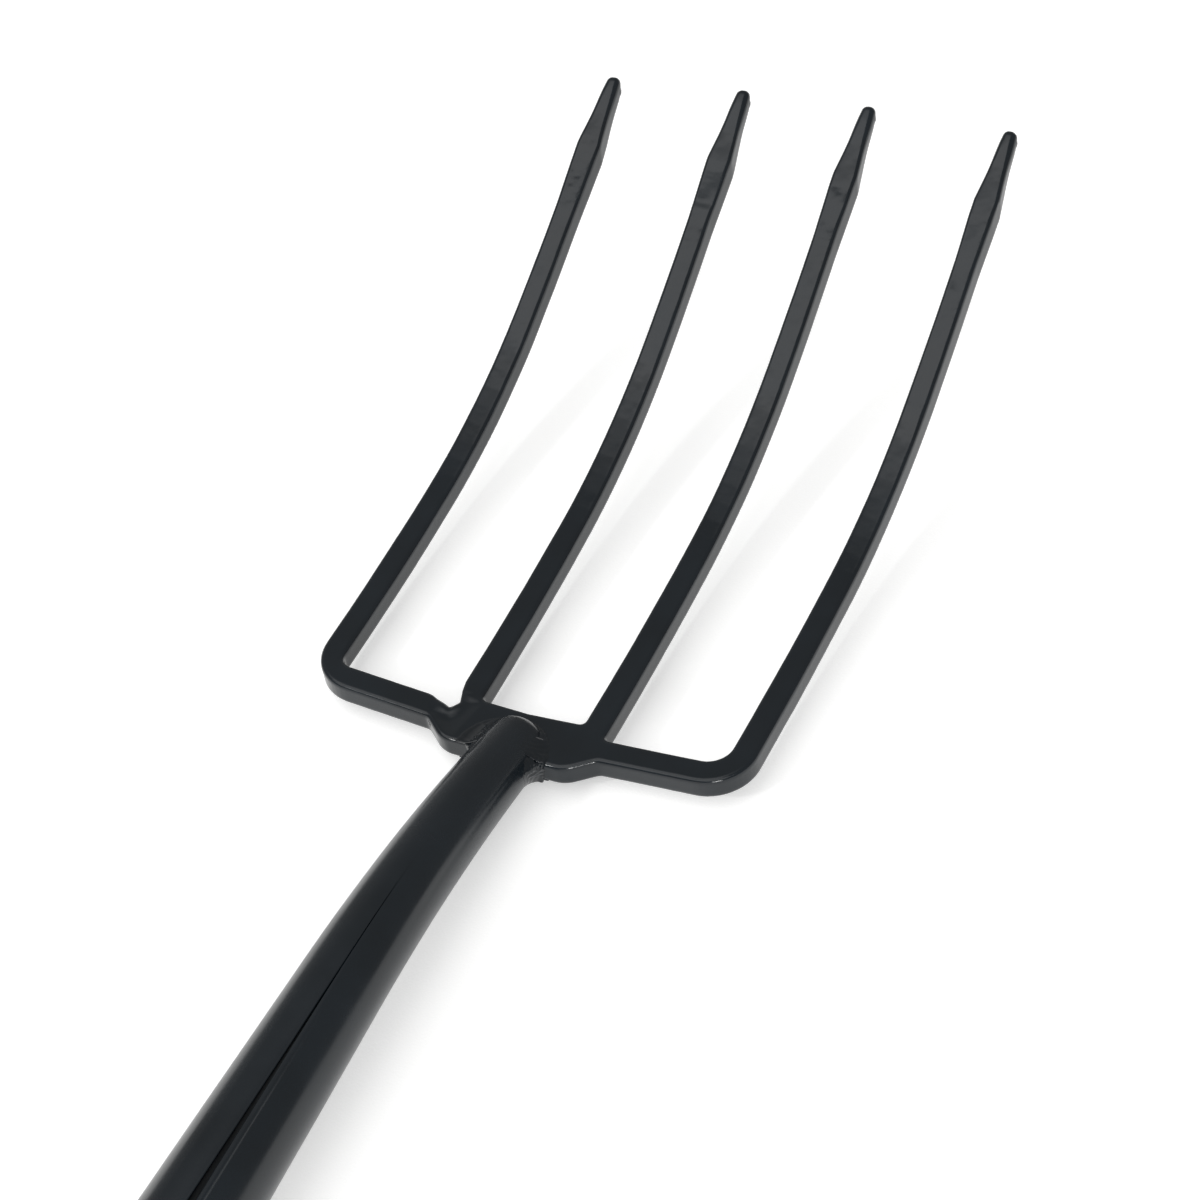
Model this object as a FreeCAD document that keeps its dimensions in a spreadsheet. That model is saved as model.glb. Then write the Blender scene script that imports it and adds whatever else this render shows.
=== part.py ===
import FreeCAD, Part
import math
import os

import Sketcher
from FreeCAD import Placement, Rotation, Vector

# A four-tined hay fork: one forged steel head, a rolled steel socket welded over the
# head's hub, and a round ash handle held in the socket by a rivet and a screw.
# While it is built, the handle runs along Y, the tines point to +Y, their hollow side
# faces +Z, and Y = 0 is the line of the two arms that carry the outer tines.
# At the end the whole fork is set down on Z = 0 with its middle over the origin.

doc = FreeCAD.newDocument("HayFork")
xAxis = Vector(1, 0, 0)
yAxis = Vector(0, 1, 0)
zAxis = Vector(0, 0, 1)

# Driving dimensions, in millimetres and degrees.
dimensions = {
    # how far the tines reach from the arms, and each tine's centre across the head at the
    # arms and at its tip, with how much longer than that reach it was drawn out
    "tine_reach": 300.0,
    "outer_left_root": -91.3, "outer_left_tip": -86.9, "outer_left_extra": -6.8,
    "inner_left_root": -26.8, "inner_left_tip": -28.2, "inner_left_extra": -1.6,
    "inner_right_root": 28.7, "inner_right_tip": 28.0, "inner_right_extra": 1.9,
    "outer_right_root": 89.7, "outer_right_tip": 90.8, "outer_right_extra": 3.1,
    # section of a tine, and its spear point
    "tine_width": 10.6, "tine_neck_width": 9.2, "tine_thickness": 9.5,
    "point_width": 10.6, "point_length": 29.0, "flare_length": 24.0,
    "tip_width": 4.4, "tip_radius": 2.0, "tip_thickness": 4.8, "tip_taper_length": 37.7,
    # curve of the tines seen from the side: bow, bend, bow, and straight from there on
    "bow_start": 12.0, "root_bow_radius": 1040.0, "root_bow_angle": 5.25,
    "main_bend_radius": 276.0, "main_bend_angle": 18.95,
    "tip_bow_radius": 1000.0, "tip_bow_angle": 3.4, "point_overrun": 8.0,
    # arms and hub
    "arm_height": 10.8, "arm_rise": 3.96,
    "outer_corner_radius": 20.0, "inner_left_radius": 5.5, "inner_right_radius": 10.0,
    "hub_foot": -11.5, "hub_foot_left": -28.0, "hub_foot_right": 25.5,
    "hub_notch_left": -38.5, "hub_notch_right": 36.6, "web_dip": 11.0,
    "web_left": 11.7, "web_right": 12.6, "foot_radius": 13.0, "notch_radius": 5.0,
    "crotch_radius": 2.4, "web_corner_radius": 2.6, "shoulder_radius": 12.0,
    # the little step in the crotch beside the inner left tine
    "shoulder_left": -42.5, "crotch_step": 3.5, "saddle": 1.9, "saddle_foot": 1.0, "crotch_undercut": 0.4,
    # socket: straight cone from the mouth, then a gentle bend down to the hub
    "mouth_y": -285.0, "bend_y": -140.0, "axis_height": 15.7,
    "nose_radius": 12.6, "nose_length": 9.0, "socket_wall": 2.0,
    "neck_bend_radius": 600.0, "neck_bend_angle": 13.3,
    "seam_y": -142.0, "seam_gap": 6.4, "seam_top_gap": 0.3, "seam_turn": 17.0,
    # welds between socket and hub
    "weld_left": 21.5, "weld_right": 18.5, "weld_apex": 7.4, "weld_rise": 5.0,
    "weld_thickness": 1.0, "weld_lean": 1.6, "toe_weld_width": 4.6, "toe_weld_length": 6.2,
    "toe_weld_sink": 2.0,
    # handle: a tapered tenon in the socket, a swell at the mouth, and a straight round pole
    "handle_length": 1220.0, "handle_radius": 19.0, "handle_end_radius": 13.0,
    "tenon_radius": 19.15, "tenon_clearance": 0.15, "handle_tip_y": -142.0, "handle_tip_radius": 3.0,
    "swell_height": 1.6, "swell_length": 6.0, "swell_fade": 40.0, "swell_radius": 1.2, "swell_gap": 0.3,
    # fastenings through the socket
    "rivet_y": -270.0, "rivet_radius": 3.0, "rivet_head_radius": 6.0, "rivet_head_height": 3.0,
    "rivet_head_rounding": 2.55,
    "screw_y": -215.0, "screw_radius": 2.2, "screw_head_radius": 4.6, "screw_head_height": 2.6,
    "screw_head_rounding": 2.2, "screw_length": 25.0, "screw_tip_length": 6.6, "screw_slot": 1.2,
    "hole_clearance": 0.05, "hole_end_clearance": 2.0,
}

sheet = doc.addObject("Spreadsheet::Sheet", "Dimensions")
for row, (alias, number) in enumerate(dimensions.items(), start=1):
    sheet.set(f"A{row}", alias)
    sheet.set(f"B{row}", str(number))
    sheet.setAlias(f"B{row}", alias)
doc.recompute()


class Size:
    """A dimension as a number, together with the expression that ties it to the sheet."""

    def __init__(self, text, value):
        self.text = text
        self.value = value

    def __add__(self, other):
        other = sized(other)
        return Size(f"({self.text} + {other.text})", self.value + other.value)

    def __sub__(self, other):
        other = sized(other)
        return Size(f"({self.text} - {other.text})", self.value - other.value)

    def __mul__(self, other):
        other = sized(other)
        return Size(f"({self.text} * {other.text})", self.value * other.value)

    def __truediv__(self, other):
        other = sized(other)
        return Size(f"({self.text} / {other.text})", self.value / other.value)

    def __neg__(self):
        return self * -1

    def magnitude(self):
        return Size(f"abs({self.text})", abs(self.value))


def sized(number):
    return number if isinstance(number, Size) else Size(f"({float(number)!r})", float(number))


def sine(angle):
    return Size(f"sin({angle.text})", math.sin(math.radians(angle.value)))


def cosine(angle):
    return Size(f"cos({angle.text})", math.cos(math.radians(angle.value)))


def tangent(angle):
    return Size(f"tan({angle.text})", math.tan(math.radians(angle.value)))


def size(alias):
    return Size(f"{sheet.Name}.{alias}", float(sheet.get(alias)))


def bind(item, **sizes):
    """Tie properties of a document object to the sheet."""
    for name, amount in sizes.items():
        item.setExpression(name, sized(amount).text)


def put(item, x=0.0, y=0.0, z=0.0, axis=None, angle=0.0):
    """Tie an object's Placement to the sheet."""
    item.Placement = Placement(Vector(0, 0, 0), Rotation(axis or zAxis, sized(angle).value))
    for name, amount in (("x", x), ("y", y), ("z", z)):
        item.setExpression(f"Placement.Base.{name}", sized(amount).text)
    if axis:
        item.setExpression("Placement.Rotation.Angle", sized(angle).text)


def originPlane(body, role):
    return next(feature for feature in body.Origin.OriginFeatures if feature.Role == role)


def outlineSketch(body, role, name, corners):
    """A closed outline of straight lines whose corners are all tied to the sheet."""
    sketch = body.newObject("Sketcher::SketchObject", name)
    sketch.AttachmentSupport = [(originPlane(body, role), "")]
    sketch.MapMode = "FlatFace"
    corners = [(sized(u), sized(v)) for u, v in corners]
    points = [Vector(u.value, v.value, 0) for u, v in corners]
    for start, end in zip(points, points[1:] + points[:1]):
        sketch.addGeometry(Part.LineSegment(start, end))
    lineStart, lineEnd = 1, 2
    for line, (u, v) in enumerate(corners):
        previous = (line - 1) % len(corners)
        sketch.addConstraint(Sketcher.Constraint("Coincident", previous, lineEnd, line, lineStart))
        for kind, axisLine, amount in (("DistanceX", -2, u), ("DistanceY", -1, v)):
            if amount.value == 0:
                sketch.addConstraint(Sketcher.Constraint("PointOnObject", line, lineStart, axisLine))
                continue
            index = sketch.addConstraint(Sketcher.Constraint(kind, -1, 1, line, lineStart, amount.value))
            sketch.setExpression(f"Constraints[{index}]", amount.text)
    return sketch


def pad(body, name, sketch, length):
    feature = body.newObject("PartDesign::Pad", name)
    feature.Profile = sketch
    feature.Midplane = True
    bind(feature, Length=length)
    body.Tip = feature
    doc.recompute()
    return feature


def revolve(body, name, sketch, axisName):
    feature = body.newObject("PartDesign::Revolution", name)
    feature.Profile = sketch
    feature.ReferenceAxis = (sketch, [axisName])
    feature.Angle = 360
    body.Tip = feature
    doc.recompute()
    return feature


def roundEdges(body, name, base, picked, radius):
    """Fillet the edges of the last feature that the test picks."""
    feature = body.newObject("PartDesign::Fillet", name)
    names = [f"Edge{i}" for i, edge in enumerate(base.Shape.Edges, start=1) if picked(edge)]
    feature.Base = (base, names)
    bind(feature, Radius=radius)
    body.Tip = feature
    doc.recompute()
    return feature


def uprightAt(points):
    """Picks the upright edges that stand on any of these outline corners."""
    def picked(edge):
        ends = [vertex.Point for vertex in edge.Vertexes]
        if len(ends) != 2 or abs(ends[0].z - ends[1].z) < 1:
            return False
        return any(abs(end.x - u.value) < 0.01 and abs(end.y - v.value) < 0.01
                   for u, v in points for end in ends[:1])
    return picked


def circleAt(x=None, y=None, z=None, radius=None):
    """Picks round edges whose centre, and radius, have the values given."""
    def picked(edge):
        if not isinstance(edge.Curve, Part.Circle):
            return False
        centre = edge.Curve.Center
        wanted = ((centre.x, x), (centre.y, y), (centre.z, z), (edge.Curve.Radius, radius))
        return all(to is None or abs(at - sized(to).value) < 0.01 for at, to in wanted)
    return picked


def combine(kind, name, base, tool):
    feature = doc.addObject(kind, name)
    feature.Base = base
    feature.Tool = tool
    return feature


def joined(name, shapes):
    feature = doc.addObject("Part::MultiFuse", name)
    feature.Shapes = shapes
    return feature


def boxAt(name, length, width, height, x, y, z):
    box = doc.addObject("Part::Box", name)
    bind(box, Length=length, Width=width, Height=height)
    put(box, x, y, z)
    return box


def rodAt(name, radius, height, x, y, z, axis, angle):
    rod = doc.addObject("Part::Cylinder", name)
    bind(rod, Radius=radius, Height=height)
    put(rod, x, y, z, axis, angle)
    return rod


# Forged head: the head is the outline seen from the front, cut out of a thick plate that already
# has the curve of the tines seen from the side.
armSlope = tangent(size("arm_rise"))
halfArm = size("arm_height") / 2
halfThickness = size("tine_thickness") / 2


def armTop(x):
    return halfArm + x.magnitude() * armSlope


def armBottom(x):
    return x.magnitude() * armSlope - halfArm


def reachOf(tine):
    return size("tine_reach") + size(f"{tine}_extra")


def tineEdge(tine, y, width, side):
    """Across the head, where one side of a tine is at this height."""
    root = size(f"{tine}_root")
    tip = size(f"{tine}_tip")
    return root + (tip - root) * y / reachOf(tine) + width / 2 * side


def tineCorners(tine, side):
    """One side of a tine from its neck to its tip."""
    reach = reachOf(tine)
    pointY = reach - size("point_length")
    neckY = pointY - size("flare_length")
    stations = ((neckY, "tine_neck_width"), (pointY, "point_width"), (reach, "tip_width"))
    return [(tineEdge(tine, y, size(width), side), y) for y, width in stations]


def wholeTine(tine):
    """Up the right side of a tine and down its left side."""
    return tineCorners(tine, 1) + tineCorners(tine, -1)[::-1]


def rootEdge(tine, side):
    return size(f"{tine}_root") + size("tine_width") / 2 * side


footLeft = (size("hub_foot_left"), size("hub_foot"))
footRight = (size("hub_foot_right"), size("hub_foot"))
notchRight = (size("hub_notch_right"), armBottom(size("hub_notch_right")))
notchLeft = (size("hub_notch_left"), armBottom(size("hub_notch_left")))
outerRight = (rootEdge("outer_right", 1), armBottom(rootEdge("outer_right", 1)))
outerLeft = (rootEdge("outer_left", -1), armBottom(rootEdge("outer_left", -1)))
innerRight = (rootEdge("outer_right", -1), armTop(rootEdge("outer_right", -1)))
innerLeft = (rootEdge("outer_left", 1), armTop(rootEdge("outer_left", 1)))
crotchRight = (rootEdge("inner_right", 1), armTop(rootEdge("inner_right", 1)))
webRight = (rootEdge("inner_right", -1), size("web_right"))
webMiddle = (sized(0), size("web_dip"))
webLeft = (rootEdge("inner_left", 1), size("web_left"))
innerLeftSide = rootEdge("inner_left", -1)
saddleHigh = (innerLeftSide, size("web_left") + size("crotch_step") * 2)
saddleLow = (innerLeftSide + size("saddle"), armTop(innerLeftSide) + size("saddle_foot"))
crotchLeft = (innerLeftSide - size("crotch_undercut"), saddleLow[1] - size("crotch_step"))
shoulderLeft = (size("shoulder_left"), armTop(size("shoulder_left")))

headOutline = (
    [footRight, notchRight, outerRight]
    + wholeTine("outer_right")
    + [innerRight, crotchRight]
    + wholeTine("inner_right")
    + [webRight, webMiddle, webLeft]
    + wholeTine("inner_left")
    + [saddleHigh, saddleLow, crotchLeft, shoulderLeft, innerLeft]
    + wholeTine("outer_left")
    + [outerLeft, notchLeft, footLeft]
)
tines = ("outer_left", "inner_left", "inner_right", "outer_right")
tipCorners = [tineCorners(tine, side)[-1] for tine in tines for side in (-1, 1)]
roundings = (
    ("OuterCorners", (outerLeft, outerRight), "outer_corner_radius"),
    ("InnerCornerLeft", (innerLeft,), "inner_left_radius"),
    ("InnerCornerRight", (innerRight,), "inner_right_radius"),
    ("HubFeet", (footLeft, footRight), "foot_radius"),
    ("HubNotches", (notchLeft, notchRight), "notch_radius"),
    ("Shoulder", (shoulderLeft,), "shoulder_radius"),
    ("WebCorners", (webLeft, webRight), "web_corner_radius"),
    ("Crotches", (crotchRight,), "crotch_radius"),
    ("TineTips", tipCorners, "tip_radius"),
)

headPlan = doc.addObject("PartDesign::Body", "HeadPlan")
planSketch = outlineSketch(headPlan, "XY_Plane", "HeadOutline", headOutline)
latest = pad(headPlan, "HeadPad", planSketch, size("tine_reach"))
for name, corners, radius in roundings:
    latest = roundEdges(headPlan, name, latest, uprightAt(corners), size(radius))


def sideFace():
    """The plate seen from the side: straight hub, two bows with a bend between, tapered point."""
    start = size("hub_foot").value - size("tine_reach").value
    half = halfThickness.value
    runs = (("root_bow_radius", "root_bow_angle"), ("main_bend_radius", "main_bend_angle"),
            ("tip_bow_radius", "tip_bow_angle"))
    point = Vector(0, size("bow_start").value, 0)
    heading = 0.0
    sides = {1: [], -1: []}
    for side in sides:
        lift = Vector(0, 0, side * half)
        sides[side].append(Part.LineSegment(Vector(0, start, 0) + lift, point + lift))
    for radiusName, angleName in runs:
        radius = size(radiusName).value
        turn = math.radians(size(angleName).value)
        centre = point + Vector(0, -math.sin(heading), math.cos(heading)) * radius
        for side in sides:
            ends = [centre + Vector(0, math.sin(a), -math.cos(a)) * (radius - side * half)
                    for a in (heading, heading + turn / 2, heading + turn)]
            sides[side].append(Part.Arc(*ends))
        heading += turn
        point = centre + Vector(0, math.sin(heading), -math.cos(heading)) * radius
    along = Vector(0, math.cos(heading), math.sin(heading))
    across = Vector(0, -math.sin(heading), math.cos(heading))
    # the point thins down evenly to the longest tip, and goes on past it at the same rate
    longest = max(reachOf(tine).value for tine in tines)
    straight = (longest - point.y) / along.y - size("tip_taper_length").value
    taperStart = point + along * straight
    taperLength = size("tip_taper_length").value + size("point_overrun").value
    thinning = (half - size("tip_thickness").value / 2) / size("tip_taper_length").value
    tipHalf = half - thinning * taperLength
    tips = {}
    for side in sides:
        shoulder = taperStart + across * side * half
        tips[side] = taperStart + along * taperLength + across * side * tipHalf
        sides[side].append(Part.LineSegment(point + across * side * half, shoulder))
        sides[side].append(Part.LineSegment(shoulder, tips[side]))
    edges = [curve.toShape() for curve in sides[-1]]
    edges.append(Part.makeLine(tips[-1], tips[1]))
    edges += [curve.toShape() for curve in reversed(sides[1])]
    edges.append(Part.makeLine(Vector(0, start, half), Vector(0, start, -half)))
    return Part.Face(Part.Wire(Part.__sortEdges__(edges)))


plateWidth = 3 * size("outer_right_root").value
curvedPlate = doc.addObject("Part::Feature", "CurvedPlate")
curvedPlate.Shape = sideFace().extrude(Vector(plateWidth, 0, 0))
curvedPlate.Placement = Placement(Vector(-plateWidth / 2, 0, 0), Rotation())
forgedHead = combine("Part::Common", "ForgedHead", headPlan, curvedPlate)

# Socket: one cone from the mouth to the start of the bend, then round sections on the bend,
# which shrink at the same rate, and a blunt nose that closes over the hub.
straightLength = size("bend_y") - size("mouth_y")
bendLength = size("neck_bend_radius") * size("neck_bend_angle") * math.radians(1)
mouthRadius = size("tenon_radius") + size("tenon_clearance") + size("socket_wall")
socketTaper = (mouthRadius - size("nose_radius")) / (straightLength + bendLength)
bendStations = 5


def socketRadius(beyondMouth):
    """Outside radius of the socket at a distance along its axis from the mouth."""
    return mouthRadius - socketTaper * beyondMouth


def socketBody(name, wall):
    """The socket's solid shape, less the wall."""
    cone = doc.addObject("Part::Cone", f"{name}Cone")
    bendStart = socketRadius(straightLength) - wall
    bind(cone, Radius1=mouthRadius - wall, Radius2=bendStart, Height=straightLength)
    put(cone, 0, size("mouth_y"), size("axis_height"), xAxis, -90)
    rings = []
    for station in range(bendStations + 1):
        turned = size("neck_bend_angle") * station / bendStations
        ring = doc.addObject("Part::Circle", f"{name}Ring{station}")
        bind(ring, Radius=socketRadius(straightLength + bendLength * station / bendStations) - wall)
        y = size("bend_y") + size("neck_bend_radius") * sine(turned)
        z = size("axis_height") - size("neck_bend_radius") * (sized(1) - cosine(turned))
        put(ring, 0, y, z, xAxis, -turned - 90)
        rings.append(ring)
    bend = doc.addObject("Part::Loft", f"{name}Bend")
    bend.Sections = rings
    bend.Solid = True
    nose = doc.addObject("Part::Ellipsoid", f"{name}Nose")
    nose.Angle1 = 0
    noseRadius = size("nose_radius") - wall
    bind(nose, Radius1=size("nose_length") - wall, Radius2=noseRadius, Radius3=noseRadius)
    put(nose, 0, y, z, xAxis, -turned - 90)
    return joined(name, [cone, bend, nose])


socketSolid = socketBody("SocketSolid", sized(0))
socketHollow = socketBody("SocketHollow", size("socket_wall"))

# the slit that lets the socket's nose straddle the hub reaches past the nose
slotWidth = mouthRadius * 2
slotLength = size("nose_length") - size("hub_foot") * 2
hubSlot = boxAt("HubSlot", slotWidth, slotLength, size("tine_thickness"),
                -slotWidth / 2, size("hub_foot"), -halfThickness)

seam = doc.addObject("Part::Wedge", "Seam")
halfGap = size("seam_gap") / 2
halfTopGap = size("seam_top_gap") / 2
bind(seam, Xmin=-halfGap, Xmax=halfGap, X2min=-halfTopGap, X2max=halfTopGap,
     Ymin=size("mouth_y"), Ymax=size("seam_y"), Zmin=size("nose_radius") / 2,
     Z2min=size("nose_radius") / 2, Zmax=mouthRadius * 2, Z2max=mouthRadius * 2)
put(seam, 0, 0, size("axis_height"), yAxis, size("seam_turn"))

rivetHoleRadius = size("rivet_radius") + size("hole_clearance")
screwHoleRadius = size("screw_radius") + size("hole_clearance")
rivetSpan = mouthRadius * 2
rivetHole = rodAt("RivetHole", rivetHoleRadius, rivetSpan * 2, -rivetSpan, size("rivet_y"),
                  size("axis_height"), yAxis, 90)
screwFromMouth = size("screw_y") - size("mouth_y")
screwSeat = size("axis_height") - socketRadius(screwFromMouth - size("screw_head_radius"))
screwHole = rodAt("ScrewHole", screwHoleRadius, size("screw_length") + size("hole_end_clearance"), 0,
                  size("screw_y"), screwSeat - size("hole_end_clearance"), xAxis, 0)

socketCuts = joined("SocketCuts", [socketHollow, hubSlot, seam, rivetHole, screwHole])
socket = combine("Part::Cut", "Socket", socketSolid, socketCuts)

# Welds: a skirt of weld metal on each face of the hub, which leans from the hub up to the nose
# of the socket, and a short run at each side where the socket passes the hub's foot.


def archAt(left, right, apex, z):
    """A half oval that stands on the hub's foot line: left and right quarters and a base."""
    foot = size("hub_foot").value
    rise = apex.value - foot
    base = [Vector(-left.value, foot, z.value), Vector(right.value, foot, z.value)]
    quarters = []
    for reach, side in ((left.value, -1), (right.value, 1)):
        oval = [Vector(side * reach * math.cos(a), foot + rise * math.sin(a), z.value)
                for a in (math.radians(15 * step) for step in range(7))]
        quarters.append(oval)
    curve = Part.BSplineCurve()
    curve.interpolate(quarters[0] + quarters[1][-2::-1])
    return Part.Wire([curve.toShape(), Part.makeLine(base[1], base[0])])


def weldSkirt(name, face):
    """The weld on the front (face 1) or back (face -1) of the hub."""
    low = halfThickness * face
    high = (halfThickness + size("weld_rise")) * face
    snug = size("nose_radius") + size("weld_thickness")
    skirt = doc.addObject("Part::Feature", f"{name}Skirt")
    wide = archAt(size("weld_left"), size("weld_right"), size("weld_apex"), low)
    narrow = archAt(snug, snug, size("weld_apex") - size("weld_lean"), high)
    skirt.Shape = Part.makeLoft([wide, narrow], True, True)
    return combine("Part::Cut", name, skirt, socketSolid)


def toeWeld(name, side):
    """A three-cornered run between the socket's flank and the hub's foot."""
    body = doc.addObject("PartDesign::Body", f"{name}Run")
    inner = size("nose_radius") - size("toe_weld_sink")
    outer = size("nose_radius") + size("toe_weld_width")
    corners = [(inner * side, size("hub_foot")), (outer * side, size("hub_foot")),
               (inner * side, size("hub_foot") - size("toe_weld_length"))]
    sketch = outlineSketch(body, "XY_Plane", f"{name}Outline", corners)
    pad(body, f"{name}Pad", sketch, size("tine_thickness"))
    return combine("Part::Cut", name, body, socketSolid)


frontWeld = weldSkirt("FrontWeld", 1)
backWeld = weldSkirt("BackWeld", -1)
leftToeWeld = toeWeld("LeftToeWeld", -1)
rightToeWeld = toeWeld("RightToeWeld", 1)

# Handle: a turned ash pole. Its tapered tenon fills the straight part of the socket, and just
# outside the mouth it swells almost to the socket's own size.
handleEndY = size("handle_tip_y") - size("handle_length")
swellY = size("mouth_y") - size("swell_gap")
swellEndY = swellY - size("swell_length")
poleY = swellEndY - size("swell_fade")
swellRadius = size("handle_radius") + size("swell_height")
tipRadius = (socketRadius(size("handle_tip_y") - size("mouth_y")) - size("socket_wall")
             - size("tenon_clearance"))

handlePole = doc.addObject("PartDesign::Body", "HandlePole")
handleSketch = outlineSketch(handlePole, "YZ_Plane", "HandleOutline", [
    (size("handle_tip_y"), 0), (size("handle_tip_y"), tipRadius),
    (swellY, size("tenon_radius")), (swellY, swellRadius), (swellEndY, swellRadius),
    (poleY, size("handle_radius")), (handleEndY, size("handle_radius")), (handleEndY, 0)])
turned = revolve(handlePole, "HandleTurned", handleSketch, "H_Axis")
turned = roundEdges(handlePole, "HandleEnd", turned, circleAt(y=handleEndY), size("handle_end_radius"))
turned = roundEdges(handlePole, "HandleTip", turned, circleAt(y=size("handle_tip_y")),
                    size("handle_tip_radius"))
roundEdges(handlePole, "HandleSwell", turned, circleAt(y=swellY, radius=swellRadius),
           size("swell_radius"))
put(handlePole, 0, 0, size("axis_height"))
handleHoles = joined("HandleHoles", [rivetHole, screwHole])
handle = combine("Part::Cut", "Handle", handlePole, handleHoles)

# Rivet through socket and handle, and screw in the socket's back.
rivetReach = socketRadius(size("rivet_y") - size("mouth_y") - size("rivet_head_radius"))
rivetEnd = rivetReach + size("rivet_head_height")
rivet = doc.addObject("PartDesign::Body", "CrossRivet")
rivetSketch = outlineSketch(rivet, "XZ_Plane", "RivetOutline", [
    (-rivetEnd, 0), (-rivetEnd, size("rivet_head_radius")), (-rivetReach, size("rivet_head_radius")),
    (-rivetReach, size("rivet_radius")), (rivetReach, size("rivet_radius")),
    (rivetReach, size("rivet_head_radius")), (rivetEnd, size("rivet_head_radius")), (rivetEnd, 0)])
rivetTurned = revolve(rivet, "RivetTurned", rivetSketch, "H_Axis")
for name, end in (("RivetHeadLeft", -rivetEnd), ("RivetHeadRight", rivetEnd)):
    rivetTurned = roundEdges(rivet, name, rivetTurned, circleAt(x=end), size("rivet_head_rounding"))

screwTurnedBody = doc.addObject("PartDesign::Body", "ScrewTurned")
screwSketch = outlineSketch(screwTurnedBody, "XZ_Plane", "ScrewOutline", [
    (0, -size("screw_head_height")), (size("screw_head_radius"), -size("screw_head_height")),
    (size("screw_head_radius"), 0), (size("screw_radius"), 0),
    (size("screw_radius"), size("screw_length") - size("screw_tip_length")),
    (0, size("screw_length"))])
screwTurned = revolve(screwTurnedBody, "ScrewShank", screwSketch, "V_Axis")
roundEdges(screwTurnedBody, "ScrewHead", screwTurned, circleAt(z=-size("screw_head_height")),
           size("screw_head_rounding"))
put(screwTurnedBody, 0, size("screw_y"), screwSeat)
slotSpan = size("screw_head_radius") * 3
screwSlot = boxAt("ScrewSlot", slotSpan, size("screw_slot"), size("screw_slot"),
                  -slotSpan / 2, size("screw_y") - size("screw_slot") / 2,
                  screwSeat - size("screw_head_height"))
screw = combine("Part::Cut", "BackScrew", screwTurnedBody, screwSlot)

# Each piece's name, and where its own origin stands before the fork is set down.
pieces = {
    "forged_head": (forgedHead, 0, 0),
    "socket": (socket, 0, 0),
    "front_weld": (frontWeld, 0, 0),
    "back_weld": (backWeld, 0, 0),
    "left_toe_weld": (leftToeWeld, 0, 0),
    "right_toe_weld": (rightToeWeld, 0, 0),
    "handle": (handle, 0, 0),
    "cross_rivet": (rivet, size("rivet_y"), size("axis_height")),
    "back_screw": (screw, 0, 0),
}


def placeAll(shiftY, shiftZ):
    for piece, y, z in pieces.values():
        put(piece, 0, sized(y) + shiftY, sized(z) + shiftZ)
    doc.recompute()


# The fork is set down: its lowest point on Z = 0, and the middle of its length over the origin.
# The handle's axis stays above the Y axis.
placeAll(0, 0)
whole = Part.Compound([piece.Shape for piece, y, z in pieces.values()]).optimalBoundingBox(False, False)
placeAll(-whole.Center.y, -whole.ZMin)
for item in doc.Objects:
    if "Invalid" in item.State or "Error" in item.State:
        raise RuntimeError(f"{item.Name} failed: {item.State}")

for label, (piece, y, z) in pieces.items():
    piece.Label = label
    if piece.Shape.isNull() or not piece.Shape.isValid() or len(piece.Shape.Solids) != 1:
        raise RuntimeError(f"{label} is not one sound solid")
os.makedirs("parts", exist_ok=True)
for label, (piece, y, z) in pieces.items():
    piece.Shape.exportStep(f"parts/{label}.step")
    print(label, round(piece.Shape.Volume), "mm3")
print(f"set down by {-whole.Center.y:.3f} along Y and {-whole.ZMin:.3f} up")
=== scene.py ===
import math

import bmesh
import bpy
import numpy
from mathutils import Matrix, Vector, bvhtree, noise


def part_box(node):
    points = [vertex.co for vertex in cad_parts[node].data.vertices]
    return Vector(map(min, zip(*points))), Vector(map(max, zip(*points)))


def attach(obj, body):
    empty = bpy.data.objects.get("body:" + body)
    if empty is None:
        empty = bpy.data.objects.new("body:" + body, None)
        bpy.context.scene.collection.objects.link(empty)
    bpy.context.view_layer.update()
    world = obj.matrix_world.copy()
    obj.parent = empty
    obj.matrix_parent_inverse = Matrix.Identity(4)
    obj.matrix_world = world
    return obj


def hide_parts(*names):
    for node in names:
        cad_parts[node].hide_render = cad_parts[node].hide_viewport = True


# A hay fork that lies on its back: black enamelled head and socket, oiled ash handle.
# Sizes in the dictionaries are millimetres and angles degrees, unless a name says otherwise.
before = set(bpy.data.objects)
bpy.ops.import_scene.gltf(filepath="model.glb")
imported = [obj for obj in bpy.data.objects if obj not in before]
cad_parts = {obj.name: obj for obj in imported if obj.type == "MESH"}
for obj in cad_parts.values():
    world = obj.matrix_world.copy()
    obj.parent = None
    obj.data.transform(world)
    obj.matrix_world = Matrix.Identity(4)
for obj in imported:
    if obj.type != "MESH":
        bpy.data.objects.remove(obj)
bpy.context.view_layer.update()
mm = 0.001

headLow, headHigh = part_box("forged_head")
socketLow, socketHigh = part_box("socket")
handleLow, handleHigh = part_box("handle")
rivetLow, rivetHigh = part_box("cross_rivet")
screwLow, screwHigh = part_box("back_screw")
axisZ = (handleLow.z + handleHigh.z) / 2
print("frame loaded, head is", [round((b - a) / mm) for a, b in zip(headLow, headHigh)], "mm")


def smoothStep(low, high, value):
    t = min(1, max(0, (value - low) / (high - low)))
    return t * t * (3 - 2 * t)


def toLinear(hexColour):
    channels = [int(hexColour[i:i + 2], 16) / 255 for i in (1, 3, 5)]
    return [c / 12.92 if c <= 0.04045 else ((c + 0.055) / 1.055) ** 2.4 for c in channels] + [1]


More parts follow.
